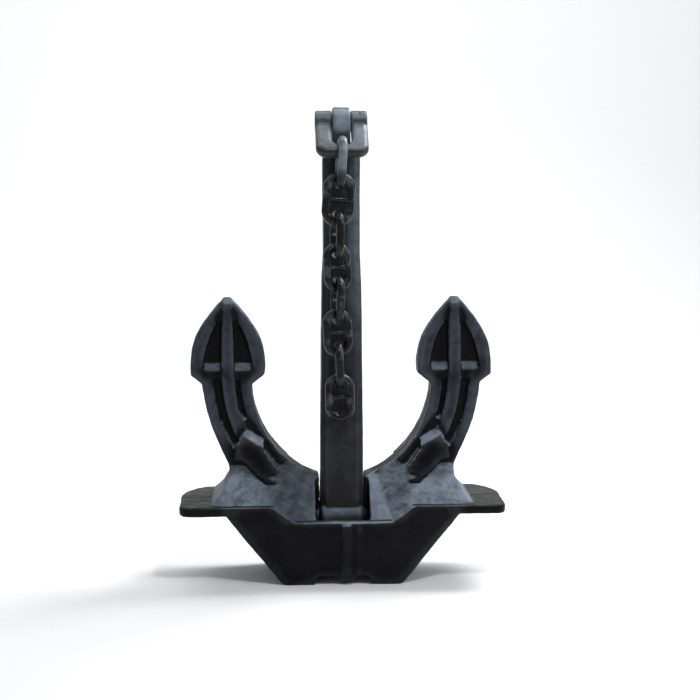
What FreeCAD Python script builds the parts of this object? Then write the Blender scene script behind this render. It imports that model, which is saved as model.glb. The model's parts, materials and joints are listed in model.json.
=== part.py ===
import FreeCAD, Part
import math
import os

# Stockless fluke anchor, 660 kg class, with its anchor shackle and a short length of stud-link chain.
# Millimetres. X across the flukes, Y to the back, Z up. The crown stands on Z = 0.

V = FreeCAD.Vector
AXIS_X = V(1, 0, 0)
AXIS_Y = V(0, 1, 0)
AXIS_Z = V(0, 0, 1)
ORIGIN = V(0, 0, 0)

# crown block
CROWN_FOOT_X = 196.0
CROWN_TOP_X = 400.0
CROWN_FOOT_Y = 142.0
CROWN_TOP_Y = 160.0
CROWN_TOP_Z = 261.0
CROWN_CORNER_R = 22.0

# tripping palms
PALM_X = 522.0
PALM_UNDER_Z = 231.0
PALM_FRONT_R = 38.0
PALM_EDGE_R = 5.0

# mound between crown and arms: height, half-width, half-depth
MOUND = [(259.0, 425.0, 146.0), (296.0, 388.0, 119.0), (340.0, 364.0, 84.0), (388.0, 359.0, 58.0)]

# notch in the front and back edges of the crown, and the bowl behind it
LIP_Z = 211.0
LIP_CHAMFER_Y = 149.0
LIP_X = 156.0
LIP_SIDE_SLOPE = 67.0 / 53.0
BOWL_Y = 142.0
BOWL_END_Y = 36.0
BOWL_END_Z = 342.0
BOWL_END_X = 112.0
BOWL_END_TOP_Z = 412.0
BOWL_END_TOP_X = 190.0

# arms: pairs of points across each arm, outer edge then inner edge, from the fluke down
ARM = [
    ((451.0, 652.0), (290.0, 652.0)),
    ((446.0, 622.0), (289.0, 626.0)),
    ((437.0, 568.0), (282.0, 578.0)),
    ((424.0, 517.0), (268.0, 530.0)),
    ((407.0, 472.0), (245.0, 480.0)),
    ((387.0, 428.0), (207.0, 427.0)),
    ((364.0, 378.0), (149.0, 374.0)),
]
ARM_ROOT_OUTER = (352.0, 262.0)
CREST = [(100.0, 347.0), (50.0, 331.0), (0.0, 326.0)]

# half-thickness of arms and flukes at each height
THICKNESS = [(262.0, 66.0), (369.0, 63.0), (480.0, 53.0), (625.0, 42.0), (700.0, 36.0), (914.0, 12.0)]

# fluke: half-width about its centre line at each height, from the point down
FLUKE_X = 366.0
FLUKE_TIP_Z = 914.0
FLUKE_SIDE = [(9.0, 911.0), (28.0, 896.0), (44.0, 877.0), (60.0, 858.0), (74.0, 839.0), (87.0, 819.0)]
FLUKE_SIDE += [(98.0, 799.0), (106.0, 780.0), (112.0, 761.0), (116.0, 740.0), (119.0, 715.0), (119.5, 690.0)]
FLUKE_SHOULDER = [(119.5, 668.0), (104.0, 657.0), (84.0, 641.0)]
POCKET = [(21.0, 848.0), (38.0, 826.0), (57.0, 789.0), (70.0, 749.0), (78.0, 706.0), (21.0, 706.0)]
POCKET_DEPTH = 16.0
POCKET_RAMP = 26.0
RIB_PROUD = 7.0
RIB_HALF = 21.0
NUB_HALF = 15.0
NUB = [(-24.0, 884.0), (-25.0, 893.0), (-9.0, 915.0), (9.0, 915.0), (25.0, 893.0), (24.0, 884.0)]

# relief on the arms: fractions of the width from the outer edge
GROOVE_OUTER = (0.23, 0.39)
GROOVE_INNER = (0.68, 0.77)
RIB_BAND = (0.41, 0.66)
GROOVE_DEPTH = 11.0

# buttress that carries each arm's rib down over the mound
BUTTRESS = [(200.0, 330.0), (245.0, 327.0), (285.0, 362.0), (320.0, 396.0), (346.0, 400.0), (342.0, 440.0)]
BUTTRESS += [(310.0, 491.0), (253.0, 459.0), (251.0, 430.0), (211.0, 376.0), (197.0, 350.0)]
BUTTRESS_FRONT = [(325.0, 104.0), (400.0, 88.0), (500.0, 72.0)]
BUTTRESS_BEVEL = 17.0

# ribs and foot lug on the crown's front and back
FACE_RIBS = [(10.0, 15.0, 7.0, 34.0, 196.0), (50.0, 8.0, 4.0, 40.0, 186.0)]
FOOT_NOTCH = [(-90.0, -1.0), (-82.0, 29.0), (82.0, 29.0), (90.0, -1.0)]
LUG_X = 14.0
LUG_R = 28.0
LUG_Z = 5.0

# crown pin, its seats and the slot
PIVOT_Z = 177.0
CROWN_PIN_R = 40.0
CROWN_PIN_HALF = 163.0
SEAT_HALF = 165.0
SLOT_HALF = 87.0
THROAT_HALF = 73.5
THROAT_Y = 45.0
TILT_STOP = 42.4
HEEL_R = 98.0
HEEL_CLEAR = 1.5
RUNNING = 0.05

# lock pins
LOCK_X = 130.0
LOCK_R = 21.0
LOCK_Z = PIVOT_Z - CROWN_PIN_R - LOCK_R
LOCK_FRONT_Y = -118.0
LOCK_END_Y = 148.0
LOCK_PIN_GAP = 1.0
WELD_R = 27.0
WELD_FLOOR_Y = 144.0
WELD_END_Y = 149.5

# shank: height, half-width, half-depth
SHANK = [
    (177.0, 71.0, 77.0),
    (300.0, 71.0, 75.0),
    (521.0, 69.5, 58.0),
    (800.0, 66.5, 55.0),
    (965.0, 64.5, 53.5),
    (1060.0, 59.5, 52.5),
    (1336.0, 60.5, 50.5),
    (1380.0, 60.0, 50.0),
    (1402.0, 40.0, 49.0),
]
SHANK_BEVEL_X = 20.0
SHANK_BEVEL_Y = 15.0
COLLAR_R = 64.0
COLLAR_HALF = 85.0
COLLAR_CLEAR = 1.5
TONGUE_HALF = 29.0
TONGUE_R = 46.0
TONGUE_DEPTH = 48.0

# anchor shackle
PIN_Z = 1474.0
SHACKLE_PIN_R = 18.2
SHACKLE_HALF = 83.0
JAW_HALF = 29.5
SHACKLE_THICK = 19.0
SHACKLE_EDGE_R = 17.0
BOW_DROP = 142.0
BOW_CORNER_R = 34.0
EYE_R = 34.0
CHAIN_Y = -106.3
SPILE_X = 58.0
SPILE_R = 4.0
SPILE_TAPER = 0.7
PLUG_R = 6.5
PLUG_DEPTH = 6.0

# chain
BAR = 26.0
END_BAR = 1.1 * BAR
END_LENGTH = 6.55 * BAR
END_WIDTH = 4.0 * BAR
BIG_BAR = 1.1 * BAR
BIG_LENGTH = 6.6 * BAR
BIG_WIDTH = 4.0 * BAR
COMMON_LENGTH = 6.0 * BAR
COMMON_WIDTH = 3.6 * BAR
COMMON_COUNT = 6
LINK_GAP = 0.3
BOW_SEAT_R = 20.3
STUD_WAIST = 0.30
STUD_FOOT = 0.42
LEAN = [-3.5, -5.0, -1.0, 3.0, -1.5, 3.0, 2.0, 1.0]
TWIST = [3.0, 9.0, 15.0, 21.0, 15.0, 9.0, 2.0, -4.0]

HANG = math.asin(-CHAIN_Y / BOW_DROP)
BOW_Z = PIN_Z - BOW_DROP * math.cos(HANG)


def closed(points):
    return Part.Face(Part.makePolygon(points + [points[0]]))


def prism_xz(outline, y0, y1):
    face = closed([V(x, y0, z) for x, z in outline])
    return face.extrude(V(0, y1 - y0, 0))


def prism_yz(outline, x0, x1):
    face = closed([V(x0, y, z) for y, z in outline])
    return face.extrude(V(x1 - x0, 0, 0))


def box(x0, x1, y0, y1, z0, z1):
    return Part.makeBox(x1 - x0, y1 - y0, z1 - z0, V(x0, y0, z0))


def rod(radius, start, axis, length):
    return Part.makeCylinder(radius, length, start, axis)


def mirrored(shape, normal):
    return shape.mirror(ORIGIN, normal)


def with_mirror(shape, normal=AXIS_X):
    return shape.fuse(mirrored(shape, normal))


def curve(points):
    spline = Part.BSplineCurve()
    spline.interpolate([V(x, 0, z) for x, z in points])
    return spline.toShape()


def line(a, b):
    return Part.makeLine(V(a[0], 0, a[1]), V(b[0], 0, b[1]))


def slab_of(edges, half):
    wire = Part.Wire(Part.__sortEdges__(edges))
    face = Part.Face(wire)
    face.translate(V(0, -half, 0))
    return face.extrude(V(0, 2 * half, 0))


def thickness_wedge(extra):
    right = [(half + extra, z) for z, half in THICKNESS]
    right.append((THICKNESS[-1][1] + extra, FLUKE_TIP_Z + 20.0))
    left = [(-y, z) for y, z in reversed(right)]
    return prism_yz(right + left, -PALM_X, PALM_X)


# ---- fluke head ----


def crown_block():
    foot = [V(x, y, 0) for x, y in rectangle(CROWN_FOOT_X, CROWN_FOOT_Y)]
    top = [V(x, y, CROWN_TOP_Z) for x, y in rectangle(CROWN_TOP_X, CROWN_TOP_Y)]
    wires = [Part.makePolygon(foot + foot[:1]), Part.makePolygon(top + top[:1])]
    block = Part.makeLoft(wires, True, True)
    corners = [e for e in block.Edges if abs(e.Vertexes[0].Z - e.Vertexes[1].Z) > 100]
    sides = [e for e in block.Edges if is_foot_side(e)]
    return block.makeFillet(CROWN_CORNER_R, corners + sides)


def is_foot_side(edge):
    low = max(v.Z for v in edge.Vertexes) < 1
    across = abs(edge.Vertexes[0].X - edge.Vertexes[1].X) < 1
    return low and across


def rectangle(hx, hy):
    return [(-hx, -hy), (hx, -hy), (hx, hy), (-hx, hy)]


def tripping_palm():
    z = PALM_UNDER_Z
    y = CROWN_TOP_Y
    front = V(PALM_X - PALM_FRONT_R, -y, z)
    front_mid = V(PALM_X - PALM_FRONT_R * 0.293, -y + PALM_FRONT_R * 0.293, z)
    side_low = V(PALM_X, -y + PALM_FRONT_R, z)
    side_high = V(PALM_X, 0, z)
    rear_mid = V(PALM_X - 16.0, 0.62 * y, z)
    rear = V(PALM_X - 72.0, y, z)
    root_front = V(330.0, -y, z)
    root_rear = V(330.0, y, z)
    edges = [
        Part.makeLine(root_front, front),
        Part.Arc(front, front_mid, side_low).toShape(),
        Part.makeLine(side_low, side_high),
        Part.Arc(side_high, rear_mid, rear).toShape(),
        Part.makeLine(rear, root_rear),
        Part.makeLine(root_rear, root_front),
    ]
    plate = Part.Face(Part.Wire(edges)).extrude(V(0, 0, CROWN_TOP_Z - PALM_UNDER_Z))
    rim = [e for e in plate.Edges if on_palm_rim(e)]
    return plate.makeFillet(PALM_EDGE_R, rim)


def on_palm_rim(edge):
    flat = abs(edge.Vertexes[0].Z - edge.Vertexes[1].Z) < 0.1
    inner = max(v.X for v in edge.Vertexes) < 331.0
    return flat and not inner


def mound():
    wires = []
    for z, hx, hy in MOUND:
        points = [V(x, y, z) for x, y in rectangle(hx, hy)]
        wires.append(Part.makePolygon(points + points[:1]))
    return Part.makeLoft(wires, True, True).cut(opening())


def inner_outline():
    inner = [pair[1] for pair in ARM] + CREST[:-1]
    return inner, [(-x, z) for x, z in reversed(inner)]


def opening():
    """The space between the arms, above the crest."""
    inner, left_inner = inner_outline()
    edges = [curve(inner + CREST[-1:] + left_inner), line(left_inner[-1], inner[0])]
    return slab_of(edges, 200.0)


def arm_web():
    outer = [pair[0] for pair in ARM]
    inner, left_inner = inner_outline()
    left_outer = [(-x, z) for x, z in outer]
    foot_left = (-ARM_ROOT_OUTER[0], ARM_ROOT_OUTER[1])
    edges = [
        curve(outer),
        line(outer[-1], ARM_ROOT_OUTER),
        line(ARM_ROOT_OUTER, foot_left),
        line(foot_left, left_outer[-1]),
        curve(left_outer),
        line(left_outer[0], left_inner[-1]),
        curve(inner + CREST[-1:] + left_inner),
        line(inner[0], outer[0]),
    ]
    return slab_of(edges, 90.0)


def fluke_plate():
    right = [(FLUKE_X + u, z) for u, z in FLUKE_SIDE]
    left = [(FLUKE_X - u, z) for u, z in reversed(FLUKE_SIDE)]
    low_right = [(FLUKE_X + u, z) for u, z in FLUKE_SHOULDER]
    low_left = [(FLUKE_X - u + 2.0, z) for u, z in reversed(FLUKE_SHOULDER)]
    tip = (FLUKE_X, FLUKE_TIP_Z)
    edges = [
        curve([right[0], tip, left[-1]]),
        curve(right),
        curve(left),
        line(right[-1], low_right[0]),
        line(low_right[0], low_right[1]),
        line(low_right[1], low_right[2]),
        line(low_right[2], low_left[0]),
        line(low_left[0], low_left[1]),
        line(low_left[1], low_left[2]),
        line(low_left[2], left[0]),
    ]
    return slab_of(edges, 90.0)


def fluke_pockets():
    outer = [(FLUKE_X + u, z) for u, z in POCKET]
    inner = [(FLUKE_X - u, z) for u, z in POCKET]
    ramp = [(u, z - POCKET_RAMP) for u, z in POCKET[-2:]]
    pairs = [(outer, 1.0), (inner, -1.0)]
    tool = None
    for outline, side in pairs:
        foot = [(FLUKE_X + side * u, z) for u, z in ramp]
        well = prism_xz(outline, -90.0, 90.0).fuse(prism_xz(outline[-2:] + foot[::-1], -90.0, 90.0))
        tool = well if tool is None else tool.fuse(well)
    return tool.cut(pocket_floor())


def pocket_floor():
    sill = POCKET[-1][1]
    low = sill - POCKET_RAMP
    right = [(half_thickness(low) + 0.5, low - 50.0), (half_thickness(low) + 0.5, low)]
    right.append((half_thickness(sill) - POCKET_DEPTH, sill))
    right.append((half_thickness(FLUKE_TIP_Z) - POCKET_DEPTH + 6.0, FLUKE_TIP_Z))
    left = [(-y, z) for y, z in reversed(right)]
    return prism_yz(right + left, -PALM_X, PALM_X)


def half_thickness(z):
    for (z0, h0), (z1, h1) in zip(THICKNESS, THICKNESS[1:]):
        if z0 <= z <= z1:
            return h0 + (h1 - h0) * (z - z0) / (z1 - z0)
    return THICKNESS[-1][1]


def across(pair, t):
    (xo, zo), (xi, zi) = pair
    return (xo + t * (xi - xo), zo + t * (zi - zo))


def band(limits, first, last):
    one = [across(pair, limits[0]) for pair in ARM[first:last]]
    two = [across(pair, limits[1]) for pair in ARM[first:last]]
    edges = [curve(one), line(one[-1], two[-1]), curve(two), line(two[0], one[0])]
    return slab_of(edges, 90.0)


def arm_grooves():
    outer = band(GROOVE_OUTER, 0, 6)
    inner = band(GROOVE_INNER, 0, 4)
    return outer.fuse(inner).cut(thickness_wedge(-GROOVE_DEPTH))


def centre_rib():
    arm_part = band(RIB_BAND, 0, 6)
    left = FLUKE_X - RIB_HALF
    right = FLUKE_X + RIB_HALF
    low = [across(ARM[0], RIB_BAND[0]), across(ARM[0], RIB_BAND[1])]
    outline = [low[1], low[0], (right, 700.0), (FLUKE_X + 13.0, 896.0), (FLUKE_X - 13.0, 896.0)]
    fluke_part = prism_xz(outline + [(left, 700.0)], -90.0, 90.0)
    return arm_part.fuse(fluke_part).common(thickness_wedge(RIB_PROUD))


def tip_nub():
    return prism_yz(NUB, FLUKE_X - NUB_HALF, FLUKE_X + NUB_HALF)


def buttress():
    block = prism_xz(BUTTRESS, -120.0, 120.0)
    right = [(y, z) for z, y in BUTTRESS_FRONT]
    left = [(-y, z) for y, z in reversed(right)]
    block = block.common(prism_yz(right + left, 100.0, 400.0))
    lit = [e for e in block.Edges if on_buttress_brow(e)]
    return block.makeChamfer(BUTTRESS_BEVEL, lit)


def on_buttress_brow(edge):
    a, b = edge.Vertexes[0].Point, edge.Vertexes[-1].Point
    along_face = abs(a.y) > 60.0 and a.y * b.y > 0
    top = min(a.z, b.z) > 455.0 and max(a.z, b.z) > 480.0 and max(a.x, b.x) < 311.0
    return along_face and top


def arms_and_flukes():
    plates = arm_web().fuse(with_mirror(fluke_plate()))
    body = plates.common(thickness_wedge(0.0))
    body = body.cut(with_mirror(fluke_pockets()))
    body = body.cut(with_mirror(arm_grooves()))
    for extra in (centre_rib(), tip_nub(), buttress()):
        body = body.fuse(with_mirror(extra))
    return body


def notch_profile(z_top):
    top_x = LIP_X + (z_top - LIP_Z) * LIP_SIDE_SLOPE
    return [(-LIP_X, LIP_Z), (LIP_X, LIP_Z), (top_x, z_top), (-top_x, z_top)]


def lip_cut():
    plain = prism_xz(notch_profile(300.0), -CROWN_TOP_Y - 10.0, -BOWL_Y)
    spread = CROWN_TOP_Y + 10.0 - LIP_CHAMFER_Y
    front = [V(x, -CROWN_TOP_Y - 10.0, z) for x, z in widened(notch_profile(300.0), spread)]
    back = [V(x, -LIP_CHAMFER_Y, z) for x, z in notch_profile(300.0)]
    wires = [Part.makePolygon(front + front[:1]), Part.makePolygon(back + back[:1])]
    return plain.fuse(Part.makeLoft(wires, True, True))


def widened(outline, spread):
    low = min(z for x, z in outline)
    return [(x + math.copysign(spread, x), z - spread if z == low else z) for x, z in outline]


def bowl_cut():
    front = [V(x, -BOWL_Y, z) for x, z in notch_profile(310.0)]
    back_outline = [
        (-BOWL_END_X, BOWL_END_Z),
        (BOWL_END_X, BOWL_END_Z),
        (BOWL_END_TOP_X, BOWL_END_TOP_Z),
        (-BOWL_END_TOP_X, BOWL_END_TOP_Z),
    ]
    back = [V(x, -BOWL_END_Y, z) for x, z in back_outline]
    wires = [Part.makePolygon(front + front[:1]), Part.makePolygon(back + back[:1])]
    return Part.makeLoft(wires, True, True)


def slot_cut():
    reach = HEEL_R + HEEL_CLEAR
    collar = COLLAR_R + COLLAR_CLEAR
    heel = rod(reach, V(-THROAT_HALF, 0, PIVOT_Z), AXIS_X, 2 * THROAT_HALF)
    hub = rod(collar, V(-SLOT_HALF, 0, PIVOT_Z), AXIS_X, 2 * SLOT_HALF)
    below = box(-THROAT_HALF, THROAT_HALF, -reach, reach, -1.0, PIVOT_Z)
    hub_way = box(-SLOT_HALF, SLOT_HALF, -collar, collar, -1.0, PIVOT_Z)
    tool = heel.fuse(hub).fuse(below).fuse(hub_way).fuse(tilt_fan(THROAT_HALF))
    for side in (-1.0, 1.0):
        y0, y1 = sorted((side * THROAT_Y, side * 400.0))
        outside = box(-SLOT_HALF - 1.0, SLOT_HALF + 1.0, y0, y1, PIVOT_Z, 600.0)
        tool = tool.fuse(tilt_fan(SLOT_HALF).common(outside))
    return tool


def tilt_fan(half_width):
    tilt = math.radians(TILT_STOP)
    half = SHANK[0][2] + 0.6
    y1 = -half * math.cos(tilt)
    z1 = PIVOT_Z - half * math.sin(tilt)
    y2 = y1 - 500.0 * math.sin(tilt)
    z2 = z1 + 500.0 * math.cos(tilt)
    return prism_yz([(y1, z1), (y2, z2), (-y2, z2), (-y1, z1)], -half_width, half_width)


def pin_seats():
    seat = rod(CROWN_PIN_R, V(-SEAT_HALF, 0, PIVOT_Z), AXIS_X, 2 * SEAT_HALF)
    way_in = box(-SEAT_HALF, SEAT_HALF, -CROWN_PIN_R, CROWN_PIN_R, -1.0, PIVOT_Z)
    return seat.fuse(way_in)


def lock_pin_holes():
    hole = rod(LOCK_R, V(LOCK_X, LOCK_FRONT_Y, LOCK_Z), AXIS_Y, 300.0)
    weld = rod(WELD_R, V(LOCK_X, WELD_FLOOR_Y, LOCK_Z), AXIS_Y, 50.0)
    return with_mirror(hole.fuse(weld))


def face_y(z):
    return CROWN_FOOT_Y + (CROWN_TOP_Y - CROWN_FOOT_Y) * z / CROWN_TOP_Z


def face_ribs():
    solids = []
    for x, half, proud, z0, z1 in FACE_RIBS:
        outline = [(-face_y(z0) - proud, z0), (-face_y(z1) - proud, z1)]
        outline += [(-face_y(z1 + 8.0) + 6.0, z1 + 8.0), (-face_y(z0 - 8.0) + 6.0, z0 - 8.0)]
        solids.append(prism_yz(outline, x - half, x + half))
    return solids


def foot_lug():
    return rod(LUG_R, V(LUG_X, -CROWN_FOOT_Y - 1.0, LUG_Z + LUG_R), AXIS_Y, 30.0)


def fluke_head():
    body = crown_block()
    for extra in (tripping_palm(), mirrored(tripping_palm(), AXIS_X), mound(), arms_and_flukes()):
        body = body.fuse(extra)
    for cutter in (lip_cut(), bowl_cut()):
        body = body.cut(cutter)
        body = body.cut(mirrored(cutter, AXIS_Y))
    for rib in face_ribs():
        body = body.fuse(rib)
        body = body.fuse(mirrored(rib, AXIS_Y))
    body = body.cut(prism_xz(FOOT_NOTCH, -200.0, 200.0))
    body = body.fuse(foot_lug())
    body = body.fuse(mirrored(foot_lug(), AXIS_Y))
    for cutter in (slot_cut(), pin_seats(), lock_pin_holes()):
        body = body.cut(cutter)
    return body


# ---- pins in the head ----


def crown_pin():
    pin = rod(CROWN_PIN_R, V(-CROWN_PIN_HALF, 0, PIVOT_Z), AXIS_X, 2 * CROWN_PIN_HALF)
    return chamfer_ends(pin, 4.0)


def chamfer_ends(shape, size):
    rims = [e for e in shape.Edges if isinstance(e.Curve, Part.Circle)]
    return shape.makeChamfer(size, rims)


def lock_pins():
    start = LOCK_FRONT_Y + LOCK_PIN_GAP
    pin = chamfer_ends(rod(LOCK_R, V(LOCK_X, start, LOCK_Z), AXIS_Y, LOCK_END_Y - start), 2.0)
    return Part.makeCompound([pin, mirrored(pin, AXIS_X)])


def lock_pin_welds():
    ring = rod(WELD_R, V(LOCK_X, WELD_FLOOR_Y, LOCK_Z), AXIS_Y, WELD_END_Y - WELD_FLOOR_Y)
    ring = ring.makeFillet(3.0, [e for e in ring.Edges if on_weld_crown(e)])
    ring = ring.cut(rod(LOCK_R, V(LOCK_X, 0, LOCK_Z), AXIS_Y, 400.0))
    return Part.makeCompound([ring, mirrored(ring, AXIS_X)])


def on_weld_crown(edge):
    return edge.Vertexes[0].Y > WELD_END_Y - 0.5 and isinstance(edge.Curve, Part.Circle)


# ---- shank ----


def octagon(z, hx, hy):
    bx, by = SHANK_BEVEL_X, SHANK_BEVEL_Y
    quarter = [(hx, -hy + by), (hx, hy - by), (hx - bx, hy), (-hx + bx, hy)]
    points = [V(x, y, z) for x, y in quarter]
    points += [V(-x, -y, z) for x, y in quarter]
    return Part.makePolygon(points + points[:1])


def shank_bar():
    wires = [octagon(*section) for section in SHANK]
    return Part.makeLoft(wires, True, True)


def shank_heel():
    heel = rod(HEEL_R, V(-SHANK[0][1], 0, PIVOT_Z), AXIS_X, 2 * SHANK[0][1])
    heel = chamfer_ends(heel, 10.0)
    collar = rod(COLLAR_R, V(-COLLAR_HALF, 0, PIVOT_Z), AXIS_X, 2 * COLLAR_HALF)
    return heel.fuse(chamfer_ends(collar, 4.0))


def tongue():
    block = box(-TONGUE_HALF, TONGUE_HALF, -TONGUE_DEPTH, TONGUE_DEPTH, 1370.0, PIN_Z - 20.0)
    crown = rod(TONGUE_R, V(-TONGUE_HALF, 0, PIN_Z), AXIS_X, 2 * TONGUE_HALF)
    crown = crown.makeFillet(6.0, [e for e in crown.Edges if isinstance(e.Curve, Part.Circle)])
    low, narrow = PIN_Z - 20.1, TONGUE_R - 0.5
    outline = [(-TONGUE_DEPTH, low), (TONGUE_DEPTH, low), (narrow, PIN_Z), (-narrow, PIN_Z)]
    blend = prism_yz(outline, -TONGUE_HALF, TONGUE_HALF)
    return block.fuse(blend).fuse(crown)


def shank():
    body = shank_bar().fuse(shank_heel()).fuse(tongue())
    crown_bore = rod(CROWN_PIN_R + RUNNING, V(-200.0, 0, PIVOT_Z), AXIS_X, 400.0)
    pin_bore = rod(SHACKLE_PIN_R + RUNNING, V(-200.0, 0, PIN_Z), AXIS_X, 400.0)
    return body.cut(crown_bore).cut(pin_bore)


# ---- anchor shackle: built hanging straight down from its pin, then turned to rest on the shank ----


def at_rest(shape):
    turned = shape.copy()
    turned.rotate(V(0, 0, PIN_Z), AXIS_X, -math.degrees(HANG))
    return turned


def shackle_bow_flat():
    end = PIN_Z - BOW_DROP - SHACKLE_THICK
    r = BOW_CORNER_R
    h = SHACKLE_HALF
    k = 0.2929 * r
    edges = [
        line((h, PIN_Z), (h, end + r)),
        Part.Arc(V(h, 0, end + r), V(h - k, 0, end + k), V(h - r, 0, end)).toShape(),
        line((h - r, end), (-h + r, end)),
        Part.Arc(V(-h + r, 0, end), V(-h + k, 0, end + k), V(-h, 0, end + r)).toShape(),
        line((-h, end + r), (-h, PIN_Z)),
        line((-h, PIN_Z), (-JAW_HALF, PIN_Z)),
    ]
    j = JAW_HALF
    inner = PIN_Z - BOW_DROP + SHACKLE_THICK
    edges += [
        line((-j, PIN_Z), (-j, inner + j)),
        Part.Arc(V(-j, 0, inner + j), V(0, 0, inner), V(j, 0, inner + j)).toShape(),
        line((j, inner + j), (j, PIN_Z)),
        line((j, PIN_Z), (h, PIN_Z)),
    ]
    plate = slab_of(edges, SHACKLE_THICK)
    rims = [e for e in plate.Edges if on_bow_rim(e)]
    return plate.makeFillet(SHACKLE_EDGE_R, rims)


def on_bow_rim(edge):
    flat = abs(edge.Vertexes[0].Y - edge.Vertexes[1].Y) < 0.1
    top = min(v.Z for v in edge.Vertexes) > PIN_Z - 0.1
    return flat and not top


def shackle_eye():
    eye = rod(EYE_R, V(JAW_HALF, 0, PIN_Z), AXIS_X, SHACKLE_HALF - JAW_HALF)
    rims = [e for e in eye.Edges if isinstance(e.Curve, Part.Circle)]
    return eye.makeFillet(6.0, rims)


def spile_cone():
    start = V(SPILE_X, EYE_R - PLUG_DEPTH, PIN_Z)
    length = 2 * EYE_R - PLUG_DEPTH - 3.0
    return Part.makeCone(SPILE_R + SPILE_TAPER, SPILE_R, length, start, V(0, -1, 0))


def plug_core():
    return rod(PLUG_R, V(SPILE_X, EYE_R - PLUG_DEPTH, PIN_Z), AXIS_Y, PLUG_DEPTH + 2.0)


def shackle():
    body = shackle_bow_flat().fuse(shackle_eye()).fuse(mirrored(shackle_eye(), AXIS_X))
    body = body.cut(rod(SHACKLE_PIN_R, V(-200.0, 0, PIN_Z), AXIS_X, 400.0))
    through = rod(SPILE_R, V(SPILE_X, -EYE_R - 5.0, PIN_Z), AXIS_Y, 20.0)
    body = body.cut(spile_cone()).cut(through).cut(plug_core())
    return at_rest(body)


def shackle_pin():
    half = SHACKLE_HALF - 1.0
    pin = chamfer_ends(rod(SHACKLE_PIN_R, V(-half, 0, PIN_Z), AXIS_X, 2 * half), 2.0)
    return at_rest(pin.cut(spile_cone()))


def spile_pin():
    return at_rest(spile_cone())


def lead_plug():
    plug = plug_core().common(rod(EYE_R, V(0, 0, PIN_Z), AXIS_X, 100.0))
    return at_rest(plug)


# ---- chain ----


def link_blank(bar, length, width):
    r = bar / 2
    bend = width / 2 - r
    leg = length - 2 * r - 2 * bend
    side = rod(r, V(bend, 0, -leg / 2), AXIS_Z, leg)
    section = Part.Face(Part.Wire(Part.Circle(V(bend, 0, leg / 2), AXIS_Z, r).toShape()))
    top = section.revolve(V(0, 0, leg / 2), V(0, -1, 0), 180)
    parts = [side, mirrored(side, AXIS_X), top, mirrored(top, AXIS_Z)]
    body = parts[0]
    for part in parts[1:]:
        body = body.fuse(part)
    return body


def stud_blank(bar, length, width):
    r = bar / 2
    reach = width / 2 - r
    waist = STUD_WAIST * bar
    foot = STUD_FOOT * bar
    inner = 0.38 * reach
    end = reach - 0.3 * r
    half = [(end, 0), (end, foot), (inner, waist)]
    profile = [V(-x, 0, z) for x, z in half] + [V(x, 0, z) for x, z in reversed(half)]
    stud = closed(profile).revolve(ORIGIN, AXIS_X, 360)
    side = rod(r, V(reach, 0, -length / 4), AXIS_Z, length / 2)
    return stud.cut(side).cut(mirrored(side, AXIS_X))


def chain_layout():
    """Each link's name, sizes, the centre of its upper bar, its in-plane direction and its long axis."""
    specs = [("end", END_BAR, END_LENGTH, END_WIDTH), ("enlarged", BIG_BAR, BIG_LENGTH, BIG_WIDTH)]
    for number in range(1, COMMON_COUNT + 1):
        specs.append(("common_%d" % number, BAR, COMMON_LENGTH, COMMON_WIDTH))
    rows = []
    bearing = V(0, CHAIN_Y, BOW_Z)
    reach = BOW_SEAT_R + LINK_GAP
    axis_before = AXIS_Z
    for index, (name, bar, length, width) in enumerate(specs):
        edge_on = index % 2 == 0
        lean = math.radians(LEAN[index])
        twist = math.radians(TWIST[index] + (90.0 if edge_on else 0.0))
        up = V(-math.sin(lean), 0, math.cos(lean))
        flat = V(math.cos(twist), math.sin(twist), 0)
        flat = (flat - up * flat.dot(up)).normalize()
        normal_way = axis_before if edge_on else up
        top = bearing + normal_way * (reach + bar / 2)
        rows.append((name, bar, length, width, top, flat, up))
        bearing = top - up * (length - bar)
        reach = bar / 2 + LINK_GAP
        axis_before = up
    return rows


def placed(shape, centre, flat, up):
    across_way = up.cross(flat)
    matrix = FreeCAD.Matrix(
        flat.x, across_way.x, up.x, centre.x,
        flat.y, across_way.y, up.y, centre.y,
        flat.z, across_way.z, up.z, centre.z,
        0, 0, 0, 1,
    )
    moved = shape.copy()
    moved.Placement = FreeCAD.Placement(matrix)
    return moved


def chain_parts():
    nodes = {}
    for name, bar, length, width, top, flat, up in chain_layout():
        centre = top - up * (length / 2 - bar / 2)
        nodes["link_" + name] = placed(link_blank(bar, length, width), centre, flat, up)
        if name != "end":
            nodes["stud_" + name] = placed(stud_blank(bar, length, width), centre, flat, up)
    return nodes


def main():
    os.makedirs("parts", exist_ok=True)
    nodes = {
        "fluke_head": fluke_head(),
        "crown_pin": crown_pin(),
        "lock_pins": lock_pins(),
        "lock_pin_welds": lock_pin_welds(),
        "shank": shank(),
        "shackle_bow": shackle(),
        "shackle_pin": shackle_pin(),
        "spile_pin": spile_pin(),
        "lead_plug": lead_plug(),
    }
    nodes.update(chain_parts())
    for name, shape in nodes.items():
        shape.exportStep("parts/%s.step" % name)
        low, high = shape.BoundBox.ZMin, shape.BoundBox.ZMax
        facts = (name, len(shape.Solids), shape.isValid(), shape.Volume / 1e6, low, high)
        print("%-16s solids %d valid %s vol %.2f dm3 z %.1f..%.1f" % facts)
    print("mass at 7850 kg/m3: %.1f kg" % (sum(s.Volume for s in nodes.values()) * 7.85e-6))


main()
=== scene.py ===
import json
import math

import bpy
import numpy as np
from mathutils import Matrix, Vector, noise

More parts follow.
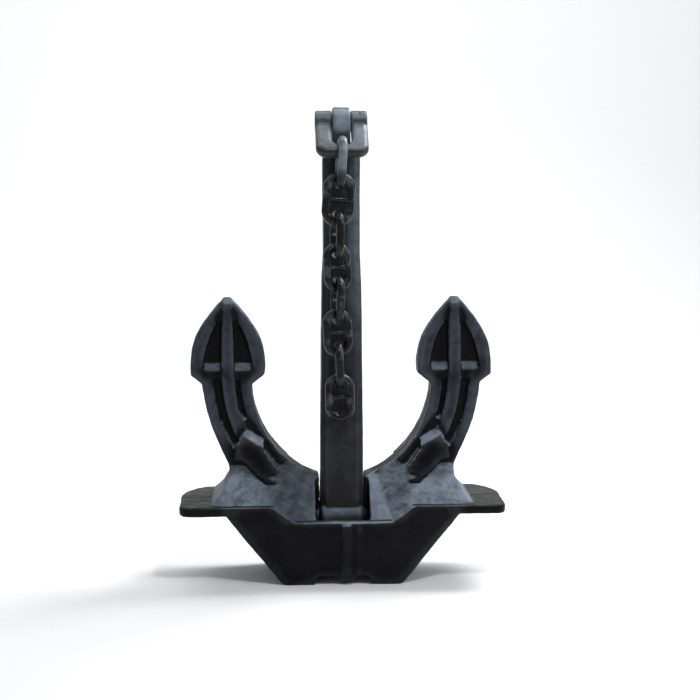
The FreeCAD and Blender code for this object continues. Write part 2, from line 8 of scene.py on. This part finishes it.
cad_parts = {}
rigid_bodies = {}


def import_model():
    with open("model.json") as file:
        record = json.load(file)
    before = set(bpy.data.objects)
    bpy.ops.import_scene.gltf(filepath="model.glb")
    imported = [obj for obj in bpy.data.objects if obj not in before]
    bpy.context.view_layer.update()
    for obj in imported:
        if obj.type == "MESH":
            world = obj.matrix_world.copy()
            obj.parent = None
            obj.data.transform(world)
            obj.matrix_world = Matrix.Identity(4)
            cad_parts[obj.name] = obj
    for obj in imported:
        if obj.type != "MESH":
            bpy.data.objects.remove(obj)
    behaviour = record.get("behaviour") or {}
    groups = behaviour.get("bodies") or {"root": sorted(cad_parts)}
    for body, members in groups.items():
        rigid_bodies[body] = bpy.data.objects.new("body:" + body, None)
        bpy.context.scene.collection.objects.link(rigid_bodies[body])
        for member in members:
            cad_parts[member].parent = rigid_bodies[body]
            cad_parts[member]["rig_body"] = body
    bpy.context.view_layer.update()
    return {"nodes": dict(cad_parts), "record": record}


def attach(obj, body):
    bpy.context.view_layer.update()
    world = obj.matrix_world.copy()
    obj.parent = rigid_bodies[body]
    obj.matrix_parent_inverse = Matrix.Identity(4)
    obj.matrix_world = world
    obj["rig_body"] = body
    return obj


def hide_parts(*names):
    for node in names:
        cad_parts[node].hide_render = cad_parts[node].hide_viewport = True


# Stockless fluke anchor with a hanging length of stud-link chain, painted black.
# Metres, in the frame of the CAD: X across the flukes, Y to the back, Z up.

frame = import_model()
NODES = frame["nodes"]
SLOTS = {part["node"]: part["material_slot"] for part in frame["record"]["subparts"]}

# ------------------------------------------------------------------ values: paint

# noise in the paint: scale, detail, roughness, distortion
BROAD = (5.0, 4.0, 0.55, 0.0)
PATCH = (24.0, 6.0, 0.62, 0.4)
FINE = (240.0, 4.0, 0.65, 0.0)
GRIT = (900.0, 2.0, 0.60, 0.0)

# the colour of the pale film on what faces up, which stands for dust and for painted sky sheen
GREY_BLUE = (0.215, 0.255, 0.310)
SILT = (0.024, 0.029, 0.017)
# painted shade for the hollows
HOLLOW_SHADE = (0.004, 0.004, 0.0045)
BARE_EDGE = (0.095, 0.105, 0.12)
RUST = (0.030, 0.020, 0.014)

# smooth steps: where each starts and ends, in the units of the noise, relief or direction that it reads
MOTTLE_STEP = (0.40, 0.62)
FADE_AND_HIGHLIGHT_STEP = (0.34, 0.62)
SCUFF_AND_GLINT_STEP = (0.50, 0.60)
PROUD_STEP = (0.56, 0.86)
RUBBED_STEP = (0.40, 0.56)
SUNK_SHADE_STEP = (0.44, 0.20)
FORWARD_STEP = (0.15, 0.40)
UP_STEP = (0.22, 0.62)
LEVEL_STEP = (0.78, 0.92)
CLUMP_STEP = (0.38, 0.60)
EDGE_STEP = (0.52, 0.60)
CHIP_STEP = (0.38, 0.62)
CREASE_STEP = (0.48, 0.40)
RUST_STEP = (0.50, 0.70)
GLOSS_STEP = (0.38, 0.62)

# where the head's dust and painted sky sheen change: a painted shadow of the shank to its left, the crown's
# slopes, the arms and the palms
SHANK_SHADOW_X = -0.15
SHANK_SHADOW_EDGE = (0.05, 0.15)
SLOPE_TOP_Z = (0.325, 0.300)
ARM_Z = (0.60, 0.70)
PALM_INNER_X = (0.36, 0.40)
PALM_TOP_Z = (0.272, 0.260)

# bands of height in which the upper parts are painted pale, and where that starts across the shank: fading
# paint and painted sky sheen on the upper shank, with painted shade left of its middle, and painted
# highlights on the tongue, the shackle's jaws and the end link
SHANK_FADE_AND_SHEEN_Z = (0.62, 1.10)
SHANK_LIT_SIDE_X = (0.008, 0.035)
TONGUE_HIGHLIGHT_Z = (1.43, 1.46)
JAWS_HIGHLIGHT_Z = (1.395, 1.445)
END_LINK_HIGHLIGHT_Z = (1.29, 1.36)

# the height above which the head's ribs and rims are rubbed most, and how far up that takes to build
RUBBED_ARM_Z = 0.42
RUBBED_RISE = 0.08

# ------------------------------------------------------------------ values: meshes

WELD_DISTANCE = 0.00002
SMOOTH_SHARE = 0.5
RELIEF_ROUNDS = 3

# how far each seed and each layer of noise is shifted, so that no two are alike
SEED_SHIFT_X = 3.7
SEED_SHIFT_Y = 1.3
LAYER_SHIFT_Z = 2.1
FIRST_LINK_SEED = 10

# the ring of upset metal on a welded link
UPSET_HEIGHT = 0.0013
UPSET_WIDTH = 0.0042
UPSET_RIPPLE = 0.25
UPSET_RIPPLE_RATE = 900.0

# the parting line of the casting, where the surface is edge-on, clear of the foot and the slot
PARTING_HEIGHT = 0.0016
PARTING_WIDTH = 0.0042
PARTING_FACING = 0.45
PARTING_FADE = 0.2
PARTING_FOOT_Z = 0.02
SLOT_HALF_X = 0.10
SLOT_TOP_Z = 0.36

# ------------------------------------------------------------------ values: studio

FLOOR_FRONT_Y = -9.0
FLOOR_HALF_X = 12.0
COVE_Y = 3.0
COVE_R = 3.5
COVE_STEPS = 24
WALL_TOP_Z = 9.0
WORLD_LEVEL = 0.38
SENSOR_MM = 36.0
LENS_MM = 77.17
CAMERA_PLACE = (-0.228, -4.815, 1.377)
CAMERA_AIM = (0.029, 0.0, 0.742)

# ------------------------------------------------------------------ shader nodes


def new_material(name):
    mat = bpy.data.materials.new(name)
    mat.use_nodes = True
    tree = mat.node_tree
    tree.nodes.clear()
    out = tree.nodes.new("ShaderNodeOutputMaterial")
    shader = tree.nodes.new("ShaderNodeBsdfPrincipled")
    tree.links.new(shader.outputs["BSDF"], out.inputs["Surface"])
    return mat, tree, shader


def noise_node(tree, vector, scale, detail, rough, distortion):
    node = tree.nodes.new("ShaderNodeTexNoise")
    node.inputs["Scale"].default_value = scale
    node.inputs["Detail"].default_value = detail
    node.inputs["Roughness"].default_value = rough
    node.inputs["Distortion"].default_value = distortion
    tree.links.new(vector, node.inputs["Vector"])
    return node.outputs["Fac"]


def split(tree, vector):
    """The vector's X, Y and Z, by name."""
    node = tree.nodes.new("ShaderNodeSeparateXYZ")
    tree.links.new(vector, node.inputs["Vector"])
    return {axis: node.outputs[axis] for axis in "XYZ"}


def ramp(tree, value, start, end, first=0.0, last=1.0):
    """A smooth step from first to last while the value goes from start to end."""
    node = tree.nodes.new("ShaderNodeMapRange")
    node.interpolation_type = "SMOOTHSTEP"
    node.inputs["From Min"].default_value = start
    node.inputs["From Max"].default_value = end
    node.inputs["To Min"].default_value = first
    node.inputs["To Max"].default_value = last
    tree.links.new(value, node.inputs["Value"])
    return node.outputs["Result"]


def math_node(tree, operation, a, b):
    node = tree.nodes.new("ShaderNodeMath")
    node.operation = operation
    for socket, value in zip(node.inputs, (a, b)):
        if isinstance(value, (int, float)):
            socket.default_value = value
        else:
            tree.links.new(value, socket)
    return node.outputs["Value"]


def times(tree, a, b):
    return math_node(tree, "MULTIPLY", a, b)


def absolute(tree, value):
    return math_node(tree, "ABSOLUTE", value, 0.0)


def blend(tree, a, b, share):
    """The given share of a, with b for the rest."""
    return math_node(tree, "ADD", times(tree, a, share), times(tree, b, 1 - share))


def mix_colour(tree, factor, a, b):
    """From colour a to colour b. Each is three numbers or the output of a node."""
    node = tree.nodes.new("ShaderNodeMix")
    node.data_type = "RGBA"
    tree.links.new(factor, node.inputs["Factor"])
    # a mix node's colours are its inputs 6 and 7 and its output 2
    for socket, value in ((node.inputs[6], a), (node.inputs[7], b)):
        if isinstance(value, tuple):
            socket.default_value = (*value, 1.0)
        else:
            tree.links.new(value, socket)
    return node.outputs[2]


def bump(tree, height, strength, distance, normal=None):
    node = tree.nodes.new("ShaderNodeBump")
    node.inputs["Strength"].default_value = strength
    node.inputs["Distance"].default_value = distance
    tree.links.new(height, node.inputs["Height"])
    if normal is not None:
        tree.links.new(normal, node.inputs["Normal"])
    return node.outputs["Normal"]


# ------------------------------------------------------------------ layers of paint


class Surface:
    """What every layer reads: the place on the object, the way it faces, and noise of four sizes."""

    def __init__(self, tree):
        coords = tree.nodes.new("ShaderNodeTexCoord")
        self.place = split(tree, coords.outputs["Object"])
        self.facing = split(tree, coords.outputs["Normal"])
        self.broad = noise_node(tree, coords.outputs["Object"], *BROAD)
        self.patch = noise_node(tree, coords.outputs["Object"], *PATCH)
        self.fine = noise_node(tree, coords.outputs["Object"], *FINE)
        self.grit = noise_node(tree, coords.outputs["Object"], *GRIT)
        self.mottle = blend(tree, self.broad, self.patch, 0.5)


def faded_and_highlit(tree, skin, colour, to, height, amount, across=None):
    """Paint painted pale over a band of height, standing for fading paint, painted sky sheen and painted
    highlights, and mostly kept to one side where that side is given, leaving painted shade on the other.
    """
    # painted highlight and sky sheen, with fading paint: a pale band over a range of height
    rise = ramp(tree, skin.place["Z"], *height)
    spots = ramp(tree, skin.patch, *FADE_AND_HIGHLIGHT_STEP, first=0.55)
    # painted shade: where a side is given, the pale band is held back on the other side
    if across is not None:
        spots = times(tree, spots, ramp(tree, skin.place["X"], *across, first=0.10))
    return mix_colour(tree, times(tree, times(tree, rise, spots), amount), colour, to)


def scuffed_and_glinting(tree, skin, colour, to, amount):
    """Pale spots: scuffs in the paint, and painted glints."""
    # painted glints, with scuffs: random pale spots
    spots = blend(tree, skin.patch, skin.fine, 0.8)
    return mix_colour(tree, ramp(tree, spots, *SCUFF_AND_GLINT_STEP, last=amount), colour, to)


def rubbed_and_hollow_shaded(tree, skin, colour, off_palm, to, amount, above):
    """Paint rubbed pale where the surface stands proud, and painted shade, near black, in the hollows."""
    attribute = tree.nodes.new("ShaderNodeAttribute")
    attribute.attribute_name = "relief"
    relief = attribute.outputs["Fac"]
    proud = ramp(tree, relief, *PROUD_STEP, last=amount)
    proud = times(tree, proud, ramp(tree, skin.mottle, *RUBBED_STEP, first=0.55))
    proud = times(tree, proud, ramp(tree, skin.place["Z"], above, above + RUBBED_RISE, first=0.3))
    colour = mix_colour(tree, times(tree, proud, off_palm), colour, to)
    # painted shade: the hollows, where the surface is sunk below its smoothed self, are darkened
    return mix_colour(tree, ramp(tree, relief, *SUNK_SHADE_STEP, last=0.75), colour, HOLLOW_SHADE)


def on_palm(tree, skin):
    """1 on the tripping palms, where the dust is silt."""
    outboard = ramp(tree, absolute(tree, skin.place["X"]), *PALM_INNER_X)
    return times(tree, outboard, ramp(tree, skin.place["Z"], *PALM_TOP_Z))


def head_film(tree, skin):
    """Less of the pale film in a painted shadow of the shank to its left, and on the arms only where they
    face forward or back.
    """
    # painted shadow: the pale film is thinned to the left of the shank
    beside = absolute(tree, math_node(tree, "SUBTRACT", skin.place["X"], SHANK_SHADOW_X))
    out_of_shadow = ramp(tree, beside, *SHANK_SHADOW_EDGE, first=0.40)
    forward = ramp(tree, absolute(tree, skin.facing["Y"]), *FORWARD_STEP, first=0.12)
    low = ramp(tree, skin.place["Z"], *SLOPE_TOP_Z)
    high = ramp(tree, skin.place["Z"], *ARM_Z, first=1.0, last=0.6)
    lying = times(tree, math_node(tree, "MAXIMUM", forward, low), high)
    return times(tree, out_of_shadow, lying)


def dust_and_sheen_cover(tree, skin, amount, on_head):
    """How much of the surface the pale film hides, as dust that settles and as painted sky sheen: it lies in
    clumps on what faces up.
    """
    # painted sky sheen, with dust: what faces up is painted pale
    up = ramp(tree, skin.facing["Z"], *UP_STEP)
    clumps = ramp(tree, blend(tree, skin.patch, skin.fine, 0.65), *CLUMP_STEP, first=0.45)
    cover = times(tree, times(tree, up, clumps), amount)
    if on_head:
        cover = times(tree, cover, head_film(tree, skin))
    return cover


def dust_and_sheen_colour(tree, skin, film, palm):
    """The film's own colour, and nearly pure silt where the surface is level or a palm."""
    level = math_node(tree, "MAXIMUM", ramp(tree, skin.facing["Z"], *LEVEL_STEP), palm)
    return mix_colour(tree, times(tree, level, 0.95), film, SILT)


def worn_edges(tree, skin, colour, off_palm, amount):
    """Bare, paler edges, and a little rust in the creases."""
    pointiness = tree.nodes.new("ShaderNodeNewGeometry").outputs["Pointiness"]
    edge = ramp(tree, pointiness, *EDGE_STEP)
    edge = times(tree, edge, ramp(tree, skin.patch, *CHIP_STEP, first=0.25))
    edge = times(tree, edge, off_palm)
    colour = mix_colour(tree, times(tree, edge, amount), colour, BARE_EDGE)
    crease = ramp(tree, pointiness, *CREASE_STEP)
    rust = times(tree, crease, ramp(tree, skin.fine, *RUST_STEP))
    return mix_colour(tree, times(tree, rust, 0.4), colour, RUST)


def gloss(tree, skin, rough, cover):
    """Roughness that varies a little about its own value and rises under dust."""
    uneven = blend(tree, skin.patch, skin.fine, 0.6)
    bare = ramp(tree, uneven, *GLOSS_STEP, first=rough - 0.10, last=rough + 0.12)
    return math_node(tree, "ADD", bare, times(tree, cover, 0.12))


def grainy(tree, skin, grain, pits):
    """Shallow pits, with a grain on them."""
    pitted = bump(tree, skin.patch, 0.6, pits)
    return bump(tree, blend(tree, skin.fine, skin.grit, 0.6), 0.7, grain, pitted)


def painted(name, dark, light, film, dust_and_sheen, rough, sheen, grain, pits, worn,
            rubbed=None, fades_and_highlights=(), scuff_and_glint=None, on_head=False):
    """Bituminous paint on rough steel, in layers from the mottled coat to the worn edges, with painted sheen,
    highlights, glints and shade among them.
    """
    mat, tree, shader = new_material(name)
    skin = Surface(tree)
    palm = on_palm(tree, skin) if on_head else 0.0
    off_palm = math_node(tree, "SUBTRACT", 1.0, palm)
    colour = mix_colour(tree, ramp(tree, skin.mottle, *MOTTLE_STEP), dark, light)
    for pale_band in fades_and_highlights:
        colour = faded_and_highlit(tree, skin, colour, **pale_band)
    if scuff_and_glint is not None:
        colour = scuffed_and_glinting(tree, skin, colour, **scuff_and_glint)
    # rubbed paint on what stands proud, and painted shade in the hollows
    if rubbed is not None:
        colour = rubbed_and_hollow_shaded(tree, skin, colour, off_palm, **rubbed)
    # a pale film on what faces up: dust, and painted sky sheen
    cover = dust_and_sheen_cover(tree, skin, dust_and_sheen, on_head)
    colour = mix_colour(tree, cover, colour, dust_and_sheen_colour(tree, skin, film, palm))
    colour = worn_edges(tree, skin, colour, off_palm, worn)
    tree.links.new(colour, shader.inputs["Base Color"])
    tree.links.new(gloss(tree, skin, rough, cover), shader.inputs["Roughness"])
    tree.links.new(grainy(tree, skin, grain, pits), shader.inputs["Normal"])
    shader.inputs["Specular IOR Level"].default_value = sheen
    return mat


# ------------------------------------------------------------------ materials

CAST = painted(
    "anchor_paint_cast",
    dark=(0.0024, 0.0024, 0.0027),
    light=(0.0062, 0.0062, 0.0070),
    film=GREY_BLUE,
    dust_and_sheen=0.9,
    rough=0.40,
    sheen=0.08,
    grain=0.0018,
    pits=0.0050,
    worn=0.25,
    rubbed={"to": (0.055, 0.062, 0.078), "amount": 0.85, "above": RUBBED_ARM_Z},
    on_head=True,
)

FORGED = painted(
    "anchor_paint_forged",
    dark=(0.011, 0.011, 0.013),
    light=(0.022, 0.023, 0.028),
    film=GREY_BLUE,
    dust_and_sheen=0.6,
    rough=0.40,
    sheen=0.15,
    grain=0.0012,
    pits=0.0030,
    worn=0.5,
    rubbed={"to": (0.05, 0.055, 0.065), "amount": 0.5, "above": 0.0},
    fades_and_highlights=[
        # fading paint and painted sky sheen over the upper shank, with painted shade left of its middle
        {"to": (0.075, 0.094, 0.112), "height": SHANK_FADE_AND_SHEEN_Z, "amount": 0.9, "across": SHANK_LIT_SIDE_X},
        # painted highlight on the top of the shank's tongue
        {"to": (0.22, 0.26, 0.31), "height": TONGUE_HIGHLIGHT_Z, "amount": 0.85},
    ],
)

SHACKLE = painted(
    "anchor_paint_shackle",
    dark=(0.006, 0.008, 0.008),
    light=(0.020, 0.024, 0.025),
    film=(0.13, 0.155, 0.18),
    dust_and_sheen=0.7,
    rough=0.32,
    sheen=0.35,
    grain=0.0010,
    pits=0.0018,
    worn=0.3,
    rubbed={"to": (0.05, 0.06, 0.068), "amount": 0.4, "above": 0.0},
    # painted highlight on the shackle's jaws
    fades_and_highlights=[{"to": (0.070, 0.090, 0.095), "height": JAWS_HIGHLIGHT_Z, "amount": 0.85}],
)

CHAIN = painted(
    "chain_paint",
    dark=(0.0025, 0.0025, 0.003),
    light=(0.006, 0.0063, 0.0075),
    film=(0.020, 0.023, 0.028),
    dust_and_sheen=0.6,
    rough=0.26,
    sheen=0.28,
    grain=0.0005,
    pits=0.0010,
    worn=0.08,
    rubbed={"to": (0.012, 0.013, 0.015), "amount": 0.3, "above": 0.0},
    # painted highlight on the end link at the top of the chain
    fades_and_highlights=[{"to": (0.24, 0.28, 0.32), "height": END_LINK_HIGHLIGHT_Z, "amount": 0.9}],
    # pale scuffs, which also stand for painted glints on the chain
    scuff_and_glint={"to": (0.080, 0.095, 0.115), "amount": 0.55},
)

PIN = painted(
    "pin_paint",
    dark=(0.010, 0.010, 0.011),
    light=(0.028, 0.029, 0.031),
    film=GREY_BLUE,
    dust_and_sheen=0.5,
    rough=0.36,
    sheen=0.3,
    grain=0.0006,
    pits=0.0008,
    worn=0.9,
)

WELD = painted(
    "weld_paint",
    dark=(0.006, 0.006, 0.007),
    light=(0.018, 0.018, 0.020),
    film=GREY_BLUE,
    dust_and_sheen=0.5,
    rough=0.42,
    sheen=0.3,
    grain=0.0012,
    pits=0.0012,
    worn=0.7,
)

LEAD = painted(
    "peened_lead",
    dark=(0.07, 0.073, 0.078),
    light=(0.14, 0.143, 0.15),
    film=(0.16, 0.17, 0.18),
    dust_and_sheen=0.3,
    rough=0.50,
    sheen=0.5,
    grain=0.0008,
    pits=0.0010,
    worn=0.3,
)

# ------------------------------------------------------------------ mesh tools


def copy_of_node(node, name):
    """The node's mesh as a new object, with a modifier that welds its doubled vertices."""
    obj = bpy.data.objects.new(name, NODES[node].data.copy())
    obj.data.materials.clear()
    bpy.context.scene.collection.objects.link(obj)
    weld = obj.modifiers.new("weld", "WELD")
    weld.merge_threshold = WELD_DISTANCE
    return obj


def apply_modifiers(obj):
    depsgraph = bpy.context.evaluated_depsgraph_get()
    mesh = bpy.data.meshes.new_from_object(obj.evaluated_get(depsgraph))
    obj.modifiers.clear()
    old = obj.data
    obj.data = mesh
    bpy.data.meshes.remove(old)


def coordinates(mesh):
    flat = np.zeros(len(mesh.vertices) * 3)
    mesh.vertices.foreach_get("co", flat)
    return flat.reshape(-1, 3)


def normals(mesh):
    flat = np.zeros(len(mesh.vertices) * 3)
    mesh.vertex_normals.foreach_get("vector", flat)
    return flat.reshape(-1, 3)


def move_outward(mesh, distance):
    """Moves each vertex along its normal by its own distance."""
    moved = coordinates(mesh) + normals(mesh) * distance[:, None]
    mesh.vertices.foreach_set("co", moved.ravel())
    mesh.update()


def roughen(mesh, sizes, seed, inward):
    """Moves the surface inward, and in and out by smooth noise: sizes are (wavelength, height)."""
    points = coordinates(mesh)
    move = np.full(len(points), -inward)
    for layer, (wavelength, height) in enumerate(sizes):
        shift = Vector((seed * SEED_SHIFT_X + layer, seed * SEED_SHIFT_Y, layer * LAYER_SHIFT_Z))
        for index, point in enumerate(points):
            move[index] += height * noise.noise(Vector(point) / wavelength + shift)
    move_outward(mesh, move)


def spread(values, ends, degree, rounds):
    """Averages each vertex's values with its neighbours', rounds times."""
    count = len(values)
    a, b = ends
    for _ in range(rounds):
        total = np.zeros_like(values)
        for axis in range(values.shape[1]):
            total[:, axis] = np.bincount(a, weights=values[b, axis], minlength=count)
            total[:, axis] += np.bincount(b, weights=values[a, axis], minlength=count)
        values = (1 - SMOOTH_SHARE) * values + SMOOTH_SHARE * total / degree
    return values


def store_relief(mesh, rounds, depth):
    """Attribute 'relief': over 0.5 where the surface stands proud of its smoothed self, under 0.5 if sunk."""
    points = coordinates(mesh)
    pairs = np.zeros(len(mesh.edges) * 2, int)
    mesh.edges.foreach_get("vertices", pairs)
    ends = (pairs[0::2], pairs[1::2])
    count = len(points)
    neighbours = np.bincount(ends[0], minlength=count) + np.bincount(ends[1], minlength=count)
    degree = neighbours.clip(1)[:, None]
    smooth = spread(points, ends, degree, rounds)
    height = ((points - smooth) * normals(mesh)).sum(1)[:, None]
    height = spread(height, ends, degree, RELIEF_ROUNDS)[:, 0]
    layer = mesh.attributes.new("relief", "FLOAT", "POINT")
    layer.data.foreach_set("value", np.clip(0.5 + 0.5 * height / depth, 0, 1))


def upset_weld(mesh):
    """The ring of upset metal left at the middle of one leg when a link is welded shut."""
    points = coordinates(mesh)
    centre = points.mean(0)
    _, axes = np.linalg.eigh(np.cov((points - centre).T))
    long_way = axes[:, 2]
    side_way = axes[:, 1] * np.sign(axes[:, 1].sum())
    along = (points - centre) @ long_way
    side = (points - centre) @ side_way
    ring = np.exp(-((along / UPSET_WIDTH) ** 2)) * (side > 0)
    ripple = 1 + UPSET_RIPPLE * np.sin(side * UPSET_RIPPLE_RATE)
    move_outward(mesh, UPSET_HEIGHT * ring * ripple)


def parting_line(mesh):
    """The faint ridge where the two halves of the casting mould met."""
    points = coordinates(mesh)
    edge_on = np.clip((PARTING_FACING - np.abs(normals(mesh)[:, 1])) / PARTING_FADE, 0, 1)
    ridge = PARTING_HEIGHT * np.exp(-((points[:, 1] / PARTING_WIDTH) ** 2)) * edge_on
    ridge[points[:, 2] <= PARTING_FOOT_Z] = 0.0
    ridge[(np.abs(points[:, 0]) < SLOT_HALF_X) & (points[:, 2] < SLOT_TOP_Z)] = 0.0
    move_outward(mesh, ridge)


def finish_piece(obj, body, material):
    obj.data.materials.clear()
    obj.data.materials.append(material)
    obj.data.polygons.foreach_set("use_smooth", [True] * len(obj.data.polygons))
    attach(obj, body)


def cast_skin(node, name, body, material, voxel, rounds, sizes, seed, relief,
              shape=None, inward=0.0):
    """The node's shape as cast or forged: remeshed, its edges softened, its surface slightly uneven.

    relief is the rounds of smoothing that relief is measured against, and the depth that is full relief.
    """
    obj = copy_of_node(node, name)
    remesh = obj.modifiers.new("remesh", "REMESH")
    remesh.mode = "VOXEL"
    remesh.voxel_size = voxel
    remesh.use_smooth_shade = True
    smooth = obj.modifiers.new("smooth", "SMOOTH")
    smooth.factor = SMOOTH_SHARE
    smooth.iterations = rounds
    apply_modifiers(obj)
    roughen(obj.data, sizes, seed, inward)
    if shape is not None:
        shape(obj.data)
    store_relief(obj.data, *relief)
    finish_piece(obj, body, material)
    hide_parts(node)


# ------------------------------------------------------------------ pieces

cast_skin(
    "fluke_head", "fluke_head_casting", "head", CAST,
    voxel=0.0042,
    rounds=5,
    sizes=[(0.11, 0.0016), (0.03, 0.0009), (0.012, 0.0005)],
    seed=1,
    relief=(110, 0.0075),
    shape=parting_line,
)

# the shank lies a little inside its CAD surface, which keeps the shackle clear of it when swung right back
cast_skin(
    "shank", "shank_forging", "shank", FORGED,
    voxel=0.0038,
    rounds=4,
    sizes=[(0.14, 0.0012), (0.03, 0.0005)],
    seed=2,
    relief=(60, 0.005),
    inward=0.0012,
)

cast_skin(
    "shackle_bow", "shackle_forging", "shackle", SHACKLE,
    voxel=0.0018,
    rounds=3,
    sizes=[(0.05, 0.0005), (0.012, 0.00025)],
    seed=3,
    relief=(40, 0.003),
)

LINKS = sorted(node for node in NODES if node.startswith("link_"))
for index, node in enumerate(LINKS):
    cast_skin(
        node, node.replace("link_", "") + "_link_forging", NODES[node]["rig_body"], CHAIN,
        voxel=0.0019,
        rounds=2,
        sizes=[(0.03, 0.0005), (0.010, 0.00025)],
        seed=FIRST_LINK_SEED + index,
        relief=(20, 0.0015),
        shape=upset_weld,
    )

# pins, welds, lead plug and studs keep their CAD meshes
CAD_MATERIALS = {"pin_steel": PIN, "weld": WELD, "lead": LEAD, "chain_paint": CHAIN}
for node, obj in NODES.items():
    material = CAD_MATERIALS.get(SLOTS[node])
    if material is not None and not obj.hide_render:
        obj.data.materials.clear()
        obj.data.materials.append(material)

# ------------------------------------------------------------------ stage, light and camera


def floor_material():
    mat, _, shader = new_material("studio_floor")
    shader.inputs["Base Color"].default_value = (0.80, 0.805, 0.81, 1.0)
    shader.inputs["Roughness"].default_value = 0.9
    shader.inputs["Specular IOR Level"].default_value = 0.2
    return mat


def studio_floor():
    """A floor that curves up into a backdrop behind the object."""
    profile = [(FLOOR_FRONT_Y, 0.0), (COVE_Y, 0.0)]
    for step in range(1, COVE_STEPS + 1):
        turn = math.radians(step * 90.0 / COVE_STEPS)
        profile.append((COVE_Y + COVE_R * math.sin(turn), COVE_R * (1 - math.cos(turn))))
    profile.append((COVE_Y + COVE_R, WALL_TOP_Z))
    points = []
    for y, z in profile:
        points += [(-FLOOR_HALF_X, y, z), (FLOOR_HALF_X, y, z)]
    faces = [(2 * i, 2 * i + 1, 2 * i + 3, 2 * i + 2) for i in range(len(profile) - 1)]
    mesh = bpy.data.meshes.new("studio_floor")
    mesh.from_pydata(points, [], faces)
    mesh.materials.append(floor_material())
    mesh.polygons.foreach_set("use_smooth", [True] * len(mesh.polygons))
    floor = bpy.data.objects.new("studio_floor", mesh)
    bpy.context.scene.collection.objects.link(floor)


def studio_world():
    world = bpy.data.worlds.new("studio")
    world.use_nodes = True
    background = world.node_tree.nodes["Background"]
    background.inputs["Color"].default_value = (0.94, 0.97, 1.0, 1.0)
    background.inputs["Strength"].default_value = WORLD_LEVEL
    bpy.context.scene.world = world


def softbox(name, place, aim, width, height, watts, colour):
    data = bpy.data.lights.new(name, "AREA")
    data.shape = "RECTANGLE"
    data.size = width
    data.size_y = height
    data.energy = watts
    data.color = colour
    obj = bpy.data.objects.new(name, data)
    obj.location = place
    obj.rotation_euler = (Vector(aim) - Vector(place)).to_track_quat("-Z", "Y").to_euler()
    bpy.context.scene.collection.objects.link(obj)


def camera():
    data = bpy.data.cameras.new("camera")
    data.sensor_width = SENSOR_MM
    data.lens = LENS_MM
    obj = bpy.data.objects.new("camera", data)
    obj.location = CAMERA_PLACE
    turn = (Vector(CAMERA_AIM) - obj.location).to_track_quat("-Z", "Y")
    obj.rotation_euler = turn.to_euler()
    bpy.context.scene.collection.objects.link(obj)
    bpy.context.scene.camera = obj


studio_floor()
studio_world()
softbox(
    "back_key",
    place=(1.9, 1.1, 3.5),
    aim=(0.0, 0.0, 0.5),
    width=1.6,
    height=1.6,
    watts=120.0,
    colour=(0.96, 0.98, 1.0),
)
softbox(
    "front_top",
    place=(0.9, -2.2, 3.9),
    aim=(0.0, -0.1, 1.2),
    width=0.4,
    height=0.4,
    watts=60.0,
    colour=(0.97, 0.98, 1.0),
)
softbox(
    "right_fill",
    place=(3.2, -1.6, 2.2),
    aim=(0.0, -0.1, 0.9),
    width=0.8,
    height=1.0,
    watts=35.0,
    colour=(0.97, 0.98, 1.0),
)
softbox(
    "backdrop_wash",
    place=(0.0, 1.6, 5.5),
    aim=(0.0, 5.2, 1.5),
    width=7.0,
    height=1.5,
    watts=290.0,
    colour=(1.0, 1.0, 1.0),
)
camera()
bpy.context.scene.view_settings.view_transform = "Standard"
